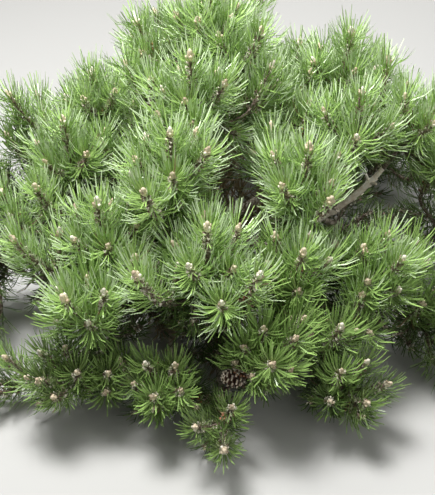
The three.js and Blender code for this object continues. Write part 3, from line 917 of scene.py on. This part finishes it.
def makeSprays():
    for kind, path, grown, _ in shoots:
        look = needleSets[kind]
        tip = path[-1]
        room = shareOf(tip[2], *needle["heights"])
        pairs = look["pairs"] * grown / needle["perLength"] * lerp(needle["lowShare"], 1, room)
        rise = np.linspace(0, 1, round(pairs))
        shares = lerp(*look["span"], rise)
        angles = lerp(*needle["angles"], rise ** needle["angleCurve"])
        length = lerp(*needle["lengths"], room) * look["share"]
        radius, spread = twigBark["shootRadii"][1], needle["outerSpread"]
        made = needlesAlong(path, shares, angles, length, radius, spread, kind != "dead")
        # painted shade: a spray's light is its height less its kind's shade, and it sets how dark a tint the
        # spray takes
        light = tip[2] / daylight["fullHeight"] - look["shade"] + chance.normal(0, daylight["jitter"])
        tint = next((name for name, least in daylight["tints"] if light > least), "dark")
        deal(made, tint, look["dryShare"])
    # old needles on twigs and boughs inside the crown take the deep and dark tints, partly for their age and
    # partly as painted shade
    for path in branches:
        shares = np.linspace(oldNeedle["bareShare"], 1, oldNeedle["pairs"])
        made = needlesAlong(path, shares, oldNeedle["angle"], oldNeedle["length"], twig["hubRadius"])
        tint = "dark" if chance.random() < oldNeedle["darkShare"] else "deep"
        deal(made, tint, oldNeedle["dryShare"])
    for row in crown:
        path = asRows(curvePoints(curves[row["name"]], boughNeedle["steps"]))
        length = np.linalg.norm(np.diff(path, axis=0), axis=1).sum()
        reach = min(boughNeedle["reach"], boughNeedle["mostOfBough"] * length)
        shares = np.linspace(1 - reach / length, 1, round(reach / boughNeedle["spacing"]))
        made = needlesAlong(path, shares, boughNeedle["angle"], boughNeedle["length"], bough["tipRadius"])
        deal(made, "dark", boughNeedle["dryShare"])


# a needle has two corners at its foot, three at its knee and two at its tip
needleHalves = (
    [(0, 1, 3), (0, 3, 2), (1, 4, 3), (0, 2, 4), (0, 4, 1)],
    [(5, 3, 6), (5, 2, 3), (6, 3, 4), (5, 4, 2), (5, 6, 4)],
)


def repeated(faces, corners, count):  # the faces of one form, for that many forms of so many corners
    return (np.array(faces)[None] + corners * np.arange(count)[:, None, None]).reshape(-1, 3)


def makeNeedles():
    looks = {}
    for tint, (colour, roughness, coat) in needleTints.items():
        looks[tint] = plainMaterial(tint.capitalize() + " needle", colour, roughness, coat)
    for tint, parts in sprays.items():
        allMade = np.concatenate(parts)
        radius = needle["radius"] * (needle["shadedShare"] if tint in ("deep", "dark") else 1)
        tones = [looks[one] for one in (tint, *tintsBeside[tint])]
        for n, start in enumerate(range(0, len(allMade), needle["mostInPiece"])):
            made = allMade[start:start + needle["mostInPiece"]]
            foot, knee, tip = made[:, 0], made[:, 1], made[:, 2]
            first = unit(knee - foot)
            broad = unit(np.cross(first, made[:, 3]) + [1e-6, 0, 0])
            thick = np.cross(broad, first)
            corners = (
                foot + broad * radius * needle["footWidth"], foot - broad * radius * needle["footWidth"],
                knee + broad * radius, knee - broad * radius, knee + thick * radius * needle["ridge"],
                tip + broad * radius * needle["tipWidth"], tip - broad * radius * needle["tipWidth"],
            )
            lower, upper = needleHalves
            # painted light: a needle's upper half takes the tint a step lighter, so that the spray's outer
            # ends read as lit
            slots = np.repeat([[0, 1]], len(made), 0)  # slots of each needle's lower and upper half
            slots[::darkerEvery] = (2, 0)
            slots = np.repeat(slots, len(lower), 1).ravel()
            joined = JoinedMesh()
            faces = repeated(lower + upper, len(corners), len(made))
            joined.add(np.stack(corners, 1).reshape(-1, 3), faces, slots)
            joined.build("Needles" + tint.capitalize() + str(n + 1), tones, smooth=False)


def makeSheaths():  # a small papery cup at the foot of every pair
    looks = [
        plainMaterial("Papery sheath", (0.7, 0.65, 0.54), 0.75),
        plainMaterial("Worn sheath", (0.22, 0.155, 0.115), 0.8),
    ]
    made = np.concatenate(sheathsMade)
    foot, lean, beside = made[:, 0], made[:, 1], made[:, 2]
    thick = np.cross(lean, beside)
    radius = sheath["radius"]
    rim = foot + lean * sheath["length"]
    sides = (beside * radius, -beside * radius + thick * radius * sheath["fold"], -thick * radius)
    corners = [rim + side for side in sides] + [foot]
    pattern = [(0, 1, 2), (0, 3, 1), (1, 3, 2), (2, 3, 0)]
    slots = np.repeat((chance.random(len(made)) < sheath["darkShare"]).astype(int), len(pattern))
    joined = JoinedMesh()
    joined.add(np.stack(corners, 1).reshape(-1, 3), repeated(pattern, len(corners), len(made)), slots)
    joined.build("NeedleSheaths", looks, smooth=False)


makeSprays()
makeNeedles()
makeSheaths()
print("needles:", sum(len(part) for parts in sprays.values() for part in parts))


# Buds sit at the tip of every lit shoot, in a cluster on the year's.

bud = dict(
    length=16, radius=4.8, sideLength=10, sideRadius=3.4, sideTilt=27, tiltJitter=6,
    sideDrop=1.5, fewest=3, most=5, profile=((0.05, 0.8), (0.36, 1.0), (0.76, 0.64)), sides=6,
    sizes=(0.85, 1.1), shortSize=0.72, leaderSize=1.2, lowSize=0.86, lowTo=190,
    tones=((0, 0, 1, 1), (2, 0, 1, 1), (0, 1, 1, 2), (2, 1, 0, 0)),  # scale, flank or shade from the foot up
)

spindleTwist = 2  # sides that its rings turn by from foot to tip


def addSpindle(joined, foot, way, length, radius, form, slots):  # a closed pointed form on its axis
    level, upper = across(way)
    profile, sides = form["profile"], form["sides"]
    points = [foot]
    for along, share in profile:
        for j in range(sides):
            angle = 2 * pi * (j + along * spindleTwist) / sides
            out = level * cos(angle) + upper * sin(angle)
            points.append(foot + way * length * along + out * radius * share)
    points.append(foot + way * length)
    faces, faceSlots = [], []
    top = 1 + (len(profile) - 1) * sides
    for j in range(sides):
        k = (j + 1) % sides
        faces.append((0, 1 + k, 1 + j))
        faceSlots.append(slots[0])
        for i in range(len(profile) - 1):
            a, b = 1 + i * sides + j, 1 + i * sides + k
            faces += [(a, b, b + sides), (a, b + sides, a + sides)]
            faceSlots += [slots[i + 1]] * 2
        faces.append((top + j, top + k, len(points) - 1))
        faceSlots.append(slots[-1])
    joined.add(asRows(points), faces, faceSlots)


def budSize(kind, leader, height):
    size = chance.uniform(*bud["sizes"]) * (bud["shortSize"] if kind == "short" else 1)
    size *= bud["leaderSize"] if leader else 1
    return size * (bud["lowSize"] if height < bud["lowTo"] else 1)


def budTones():
    return bud["tones"][chance.integers(len(bud["tones"]))]


def makeBuds():
    looks = [
        plainMaterial("Bud scale", (0.8, 0.74, 0.62), 0.7),
        plainMaterial("Bud flank", (0.66, 0.55, 0.4), 0.6),
        plainMaterial("Bud shade", (0.44, 0.34, 0.24), 0.5),
    ]
    joined = JoinedMesh()
    for kind, path, _, leader in shoots:
        if kind in ("inner", "dead"):
            continue
        tip, way = Vector(path[-1]), Vector(path[-1] - path[-2]).normalized()
        size = budSize(kind, leader, tip.z)
        addSpindle(joined, tip - way, way, bud["length"] * size, bud["radius"] * size, bud, budTones())
        count = 0 if kind == "short" else chance.integers(bud["fewest"], bud["most"] + 1)
        first = chance.uniform(0, 360)
        for k in range(count):
            out = tipped(way, bud["sideTilt"] + chance.normal(0, bud["tiltJitter"]), first + 360 * k / count)
            foot = tip - way * bud["sideDrop"] + out
            length, radius = bud["sideLength"] * size, bud["sideRadius"] * size
            addSpindle(joined, foot, out, length, radius, bud, budTones())
    joined.build("Buds", looks)


makeBuds()


# Open seed cones have a scale at every golden step.

coneScale = dict(
    span=(0.1, 0.84), count=38, length=12.5, width=8.6, thick=2.6, tilts=(106, 24),
    footWidth=0.34, shoulder=0.16, faceUp=0.35, faceDown=0.65, umbo=1.2, umboDrop=0.15,
    swellFrom=0.22, swellSpan=0.72, swellCurve=0.7, leastWidth=0.45, footDepth=0.5,
)

coneCore = dict(radius=3.2, shares=(0.7, 1.2, 1.3, 1.2, 1.0, 0.7, 0.3), sides=8)

scaleFaces = [
    (0, 1, 3), (0, 3, 2), (2, 3, 4), (5, 8, 6), (5, 7, 8), (7, 9, 8),
    (0, 2, 7), (0, 7, 5), (1, 6, 8), (1, 8, 3), (0, 5, 6), (0, 6, 1),
    (2, 4, 10), (4, 3, 10), (3, 8, 10), (8, 9, 10), (9, 7, 10), (7, 2, 10),
]
tipFaces = 6  # the last ones, around the umbo


def addScale(joined, foot, way, side, length, width):
    look, thick = coneScale, coneScale["thick"]
    face = way.cross(side)  # towards the cone's tip
    tip = foot + way * length
    shoulder = way * length * look["shoulder"]
    points = [
        foot - side * width * look["footWidth"] / 2, foot + side * width * look["footWidth"] / 2,
        tip - side * width / 2 - shoulder, tip + side * width / 2 - shoulder, tip,
    ]
    up, down = face * look["faceUp"] * thick, face * look["faceDown"] * thick
    points = [point + up for point in points] + [point - down for point in points]
    points.append(tip - face * thick * look["umboDrop"] + way * look["umbo"])
    joined.add(asRows(points), scaleFaces, [0] * (len(scaleFaces) - tipFaces) + [1] * tipFaces)


def makeCones():
    looks = [
        plainMaterial("Cone scale", (0.19, 0.1, 0.07), 0.6),
        plainMaterial("Cone scale tip", (0.9, 0.76, 0.64), 0.6),
    ]
    look = coneScale
    joined = JoinedMesh()
    for row in coneRows:
        foot, axis = coneAxis(row)
        first, last = look["span"]
        steps = len(coneCore["shares"]) - 1
        core = [foot + axis * seedCone["length"] * lerp(0, last, k / steps) for k in range(steps + 1)]
        radii = [coneCore["radius"] * share for share in coneCore["shares"]]
        addTube(joined, core, radii, coneCore["sides"], 0)
        level, upper = across(axis)
        for i in range(look["count"]):
            t = (i + 0.5) / look["count"]
            angle = goldenTurn * i
            out = level * cos(angle) + upper * sin(angle)
            tilt = radians(lerp(*look["tilts"], t))
            way = axis * cos(tilt) + out * sin(tilt)
            swell = sin(pi * min(1, look["swellFrom"] + look["swellSpan"] * t)) ** look["swellCurve"]
            base = foot + axis * seedCone["length"] * lerp(first, last, t)
            base = base + out * coneCore["radius"] * look["footDepth"]
            width = look["width"] * (look["leastWidth"] + (1 - look["leastWidth"]) * swell)
            addScale(joined, base, way, axis.cross(out), look["length"] * swell, width)
    joined.build("SeedCones", looks, smooth=False)


makeCones()


# Spent pollen cones are dry red-brown clusters at the foot of some shoots.

spentCone = dict(
    share=0.2, count=14, length=9, radius=2.4, span=(0.1, 0.4), tilt=62, tiltJitter=8,
    footDepth=1.5, lowest=4, profile=((0.2, 0.9), (0.7, 1.0)), sides=5, slots=(0, 0, 1),
)


def makeSpentCones():
    looks = [
        plainMaterial("Spent pollen cone", (0.34, 0.125, 0.06), 0.8),
        plainMaterial("Spent cone tip", (0.5, 0.24, 0.13), 0.8),
    ]
    look = spentCone
    joined = JoinedMesh()
    for kind, path, _, _ in shoots:
        if kind != "year" or chance.random() > look["share"]:
            continue
        points, ways = pathAt(path, np.linspace(*look["span"], look["count"]))
        for i, (point, way) in enumerate(zip(points, ways)):
            tilt = look["tilt"] + chance.normal(0, look["tiltJitter"])
            out = tipped(Vector(way), tilt, degrees(goldenTurn * i))
            foot = Vector(point) + out * look["footDepth"]
            if (foot + out * look["length"]).z > look["lowest"]:
                addSpindle(joined, foot, out, look["length"], look["radius"], look, look["slots"])
    joined.build("SpentPollenCones", looks)


makeSpentCones()


scene = bpy.context.scene

camera = dict(back=1.65, height=1.2, pitch=35, lens=85)

cameraData = bpy.data.cameras.new("Camera")
cameraData.lens = camera["lens"]
scene.camera = addObject("Camera", cameraData)
scene.camera.location = (0, -camera["back"], camera["height"])
scene.camera.rotation_euler = (radians(90 - camera["pitch"]), 0, 0)


paleFloor = dict(half=6, drop=0.0005, colour=(0.48, 0.475, 0.46), roughness=0.85)

half = paleFloor["half"]
floorMesh = bpy.data.meshes.new("Floor")
corners = [(-half, -half, 0), (half, -half, 0), (half, half, 0), (-half, half, 0)]
floorMesh.from_pydata(corners, [], [(0, 1, 2, 3)])
floorMesh.materials.append(plainMaterial("Pale floor", paleFloor["colour"], paleFloor["roughness"]))
floor = addObject("Floor", floorMesh)
floor.location.z = -paleFloor["drop"]


lamps = dict(
    key=dict(at=(-0.5, -0.1, 2.3), size=0.9, power=88),
    fill=dict(at=(1.2, -2.0, 1.5), size=1.6, power=11),
    back=dict(at=(0.6, 1.7, 1.9), size=1.2, power=22),
)
lampAim = Vector((0, 0, 0.2))

for name, values in lamps.items():
    lampData = bpy.data.lights.new(name, "AREA")
    lampData.shape = "DISK"
    lampData.size = values["size"]
    lampData.energy = values["power"]
    lamp = addObject(name, lampData)
    lamp.location = values["at"]
    lamp.rotation_euler = (lampAim - lamp.location).to_track_quat("-Z", "Y").to_euler()

sky = dict(colour=(0.96, 0.98, 0.95), strength=0.22)

scene.world = bpy.data.worlds.new("Sky")
scene.world.use_nodes = True
background = scene.world.node_tree.nodes["Background"]
background.inputs["Color"].default_value = (*sky["colour"], 1)
background.inputs["Strength"].default_value = sky["strength"]
scene.view_settings.view_transform = "Standard"
print("camera, floor and light made")
